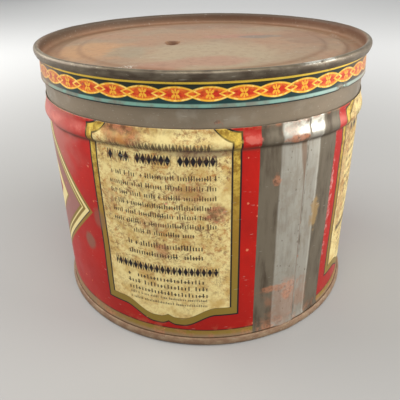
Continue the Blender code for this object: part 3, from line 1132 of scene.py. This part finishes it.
def lay_metal_age(coat, seed, rust=0.62, spread=7):
    """Fine pitting, scratches and rust freckles that all the bare tinplate shares."""
    scratches = coat.cloud(0.35, 1, stretch=(14, 2, 2), seed=seed).ease(0.7, 0.74)
    cross = coat.cloud(0.35, 1, stretch=(2, 12, 2), seed=seed + 1).ease(0.72, 0.76)
    coat.lay(scratches.either(cross) * 0.25, BRIGHT_TIN, 0.35)
    pits = coat.specks(2.4, 0.4, seed=seed + 2)
    coat.lay(pits * 0.45, DARK_RUST, 0.8, 0.1, rise=-0.02)
    freckles = coat.cloud(spread, 6, 0.72, seed=seed + 3).ease(rust, rust + 0.1)
    shade = coat.mixed(RUST, DARK_RUST, coat.cloud(1.4, 4, 0.7, seed=seed + 4).ease(0.35, 0.65))
    coat.lay(freckles * 0.75, shade, 0.85, 0, rise=0.03)
    coat.lay(coat.cloud(1.1, 3, seed=seed + 5), rise=0.02)


def bare_tin():
    """The collar, the base and the inside: dull tinplate, browner and rusted at the foot."""
    coat = Coat("worn_tinplate", COLLAR_TIN, 0.46, 0.7)
    coat.lay(coat.cloud(18, 4, stretch=(1, 1, 0.35), seed=1).ease(0.35, 0.7) * 0.45, TIN)
    coat.lay(coat.cloud(9, 4, seed=2).ease(0.52, 0.75) * 0.25, BRIGHT_TIN, 0.38)
    foot = coat.z.below(4.2, 0.5) * coat.radius.above(62.9, 0.3)
    brown = coat.cloud(5, 4, 0.65, stretch=(1, 1, 0.5), seed=6).ease(0.35, 0.62)
    coat.lay(foot, coat.mixed(FOOT_TAN, FOOT_BROWN, brown), 0.6, 0.25)
    lay_metal_age(coat, 30)
    coat.lay(coat.cloud(5, 3, seed=3).ease(0.3, 0.7) * 0.5, roughness=0.56)
    return coat.done()


# The height of the lid's crest, and pools of colour on its panel, in millimetres
CREST = HEIGHT / MM
Pool = namedtuple("Pool", "east north wide deep ragged colour share")
LID_POOLS = (
    Pool(-42, -14, 17, 20, 0.25, LID_ORANGE, 0.65),
    Pool(-27, -18, 9, 12, 0.25, LID_GREY, 0.7),
    Pool(DISH.x / MM, DISH.y / MM, 29, 27, 0.12, LID_BEIGE, 0.8),
    Pool(-14, -43, 10, 8, 0.25, LID_PINK, 0.6),
    Pool(3, -36, 15, 9, 0.25, LID_PINK, 0.65),
    Pool(15, 11, 16, 5, 0.4, LID_PINK, 0.7),
    Pool(24, 9, 10, 4, 0.4, LID_BLUE, 0.7),
    Pool(44, 6, 11, 26, 0.4, LID_BROWN, 0.35),
    Pool(4, 46, 48, 16, 0.4, LID_BROWN, 0.4),
)


def lid_tin():
    """The lid's end: tan patina with lighter and browner pools, with painted shade in its countersink,
    at its panel's step edges and in the opener's half-moon, and painted highlights and shade round its
    crest.
    """
    coat = Coat("patinated_tinplate", LID_TAN, 0.5, 0.4)
    coat.lay(coat.cloud(24, 4, 0.6, seed=1).ease(0.38, 0.66) * 0.5, LID_GREY)
    for pool in LID_POOLS:
        coat.lay(coat.pool(*pool[:5]) * pool.share, pool.colour)
    coat.lay(coat.cloud(3, 5, 0.7, seed=3).ease(0.45, 0.68) * 0.28, LID_BROWN, 0.52)
    # Painted shade: a brown band at each step of the panel.
    wide, narrow = ((PANEL_STEPS[i][0] + PANEL_STEPS[i + 1][0]) / 2 / MM for i in (1, 3))
    step_shade = coat.radius.near(wide, 1, 0.8).either(coat.radius.near(narrow, 1, 0.8))
    coat.lay(step_shade * 0.35, LID_BROWN)
    # Painted shade in the countersink: its corner darkened, and its wall darker towards the top and the
    # back, dark grey on the left and brown on the right.
    countersink_shade = coat.radius.above(58.8, 2.6) * coat.radius.below(63.4, 0.4)
    coat.lay(countersink_shade * 0.65, LID_BROWN, 0.7, 0.1)
    wall_shade_tone = coat.mixed(DARK_TIN, SHADED_WALL_BROWN, coat.x.ease(-30, 50))
    wall = countersink_shade * coat.z.ease(CREST - 4.3, CREST - 1.4) * (coat.y.ease(-50, 10) * 0.2 + 0.5)
    coat.lay(wall, wall_shade_tone, 0.7, 0.2)
    outside = coat.radius.above(63.6, 0.5)
    streaks = coat.cloud(6, 4, stretch=(1, 1, 0.4), seed=4).ease(0.32, 0.75)
    coat.lay(outside, coat.mixed(DARK_TIN, TIN, streaks), 0.46, 0.7)
    # Painted reflection: the seam's outer face is lighter towards the sides of the front.
    rim_side_sheen = abs(coat.azimuth).ease(20, 60) * coat.y.ease(30, -10)
    coat.lay(outside * rim_side_sheen * 0.45, COLLAR_TIN)
    # Painted highlight along the front of the crest, and painted shade along the back of it.
    crest = coat.z.above(CREST - 0.4, 0.2) * coat.cloud(5, 4, seed=5).ease(0.35, 0.6)
    coat.lay(crest * coat.y.ease(10, -30) * 0.5, LID_GREY, 0.36)
    coat.lay(coat.z.above(CREST - 1, 0.5) * coat.y.ease(-10, 30) * 0.75, DARK_TIN, 0.6)
    # Painted highlight specks along the crest at the front right and on the panel by the front wall;
    # the last one is a whitish scuff on the rim at the right.
    glint_and_scuff_grain = coat.cloud(0.7, 3, 0.7, seed=12).ease(0.5, 0.6)
    crest_glint = coat.pool(34, -54, 17, 5, 0.1) * coat.z.above(CREST - 0.5, 0.25)
    crest_glint = crest_glint * coat.cloud(2.6, 3, 0.6, seed=13).ease(0.35, 0.55)
    front_glints = coat.pool(-27, -42, 6, 1.6, 0.4) * glint_and_scuff_grain
    coat.lay(crest_glint.either(front_glints * 0.7), GLINT_AND_SOLDER_WHITE, 0.25)
    coat.lay(coat.pool(57.5, 15, 2.2, 6, 0.6) * glint_and_scuff_grain * 0.4, GLINT_AND_SOLDER_WHITE, 0.35)
    # Painted shade, with dirt, in the hollow of the opener's half-moon.
    punch_shade_and_dirt = coat.pool(PUNCH.x / MM, PUNCH.y / MM - 3.4, 3.3, 5, 0.1, 2)
    coat.lay(punch_shade_and_dirt * 0.75, DARK_RUST, 0.8, 0.1)
    lay_metal_age(coat, 40, rust=0.66)
    return coat.done()


def solder_metal():
    coat = Coat("side_seam_solder", WIPED_SOLDER, 0.42, 0.8)
    coat.lay(coat.cloud(3, 4, stretch=(1, 1, 2), seed=1).ease(0.4, 0.7), TIN, 0.5)
    lay_metal_age(coat, 50, rust=0.58, spread=4)
    return coat.done()


def compound_rubber():
    coat = Coat("seam_compound", COMPOUND_BLACK, 0.8, 0)
    coat.lay(coat.cloud(2, 4, seed=1).ease(0.4, 0.7), COMPOUND_DUST, rise=0.02)
    return coat.done()


# ---- the pieces

tin, lid_metal, solder, rubber = bare_tin(), lid_tin(), solder_metal(), compound_rubber()
wall_print, skirt_print = body_print(), band_print()


def mount(piece, body, node):
    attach(piece, body)
    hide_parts(node)


def build_can():
    line, coats, lap = body_profile(), (wall_print, tin), (SEAM_HEIGHT, BODY_EDGE + SHEET)
    wall = rolled("body_wall", line, body_shape, BODY_LAP_START, coats, SEAM_SLIT, lap)
    thicken(wall, inside=1)
    mount(wall, "can", "body_shell")
    line = [point for point in line if point[1] > SEAM_HEIGHT + SEAM_CLEAR / 2]
    bead = solder_bead("body_solder_run", line, body_shape, BODY_LAP_START, 1, (solder,))
    mount(bead, "can", "body_side_seam_solder")
    line = collar_profile()
    collar = rolled("collar_band", line, collar_shape, COLLAR_SLIT_START, (tin,), COLLAR_SLIT)
    thicken(collar)
    mount(collar, "can", "inner_collar")
    base = turned("base_end", end_profile(BASE_COUNTERSINK), base_end_shape, (tin,))
    thicken(base)
    mount(base, "can", "bottom_end")


def build_lid():
    line, coats, lap = skirt_profile(), (skirt_print, tin), (LID_EDGE - SHEET, HEIGHT - SEAM_HEIGHT)
    skirt = rolled("lid_band", line, skirt_shape, LID_LAP_START, coats, SEAM_SLIT, lap)
    thicken(skirt, inside=1)
    mount(skirt, "lid", "lid_skirt")
    line = [point for point in line if point[1] < HEIGHT - SEAM_HEIGHT - SEAM_CLEAR / 2]
    bead = solder_bead("lid_solder_run", line, skirt_shape, LID_LAP_START, 2, (solder,))
    mount(bead, "lid", "lid_side_seam_solder")
    line = [(radius, HEIGHT - depth) for radius, depth in end_profile(LID_COUNTERSINK)]
    end = turned("lid_end", line, lid_end_shape, (lid_metal,))
    thicken(end)
    mount(end, "lid", "lid_end_panel")


def coat_cad_nodes():
    """The sealing rings keep their CAD shape and get the rubber's material."""
    for node in ("bottom_seam_compound", "lid_seam_compound"):
        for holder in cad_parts[node].material_slots:
            holder.material = rubber


# ---- floor, light and camera

# Half the floor's width in metres, and the millimetres between which it pales
FLOOR_HALF = 4
FLOOR_NEAR = 110
FLOOR_FAR = 650

# Places and widths in metres, and powers in watts
Light = namedtuple("Light", "name place size power")
LIGHTS = (
    Light("window", (-0.75, 0.2, 0.5), 0.7, 6.5),
    Light("overhead", (0.05, -0.55, 0.95), 0.9, 8.5),
    Light("side", (0.82, -0.1, 0.36), 0.6, 6.3),
    Light("far wall", (0, 1.3, 0.45), 1.2, 1),
)
LIT_POINT = Vector((0, 0, 0.06))
STUDIO_WHITE = srgb(236, 238, 240)
STUDIO_STRENGTH = 0.52

# The camera's place, how far it is turned, tilted down and rolled in degrees, and its lens
CAMERA_PLACE = (0, -195.6 * MM, 135.2 * MM)
CAMERA_YAW = -0.64
CAMERA_PITCH = 28.54
CAMERA_ROLL = -1.26
SENSOR_WIDTH = 36
LENS = 41.77
NEAREST_SEEN = 5 * MM


def add_floor():
    drawn = bmesh.new()
    bmesh.ops.create_grid(drawn, x_segments=2, y_segments=2, size=FLOOR_HALF)
    coat = Coat("pale_floor", FLOOR_GREY, 0.7, 0)
    coat.lay(coat.radius.ease(FLOOR_NEAR, FLOOR_FAR), FAR_FLOOR)
    floor = add_piece("floor", finish_mesh(drawn, "floor"), (coat.done(),))


def add_light(light):
    data = bpy.data.lights.new(light.name, "AREA")
    data.shape = "DISK"
    data.size = light.size
    data.energy = light.power
    lamp = add_object(light.name, data)
    lamp.location = light.place
    lamp.rotation_euler = (LIT_POINT - lamp.location).to_track_quat("-Z", "Y").to_euler()


def add_camera():
    """At the height and distance that the perspective gives, looking down at the tin's middle."""
    yaw, pitch, roll = (math.radians(turn) for turn in (CAMERA_YAW, CAMERA_PITCH, CAMERA_ROLL))
    data = bpy.data.cameras.new("camera")
    data.sensor_width = SENSOR_WIDTH
    data.lens = LENS
    data.clip_start = NEAREST_SEEN
    camera = add_object("camera", data)
    turn = Matrix.Rotation(-yaw, 4, "Z") @ Matrix.Rotation(math.pi / 2 - pitch, 4, "X")
    camera.matrix_world = Matrix.Translation(CAMERA_PLACE) @ turn @ Matrix.Rotation(roll, 4, "Z")
    bpy.context.scene.camera = camera


def light_the_scene():
    world = bpy.data.worlds.new("studio")
    bpy.context.scene.world = world
    world.use_nodes = True
    backdrop = world.node_tree.nodes["Background"]
    backdrop.inputs["Color"].default_value = STUDIO_WHITE
    backdrop.inputs["Strength"].default_value = STUDIO_STRENGTH
    for light in LIGHTS:
        add_light(light)
    bpy.context.scene.view_settings.view_transform = "Standard"


build_can()
build_lid()
coat_cad_nodes()
add_floor()
add_camera()
light_the_scene()
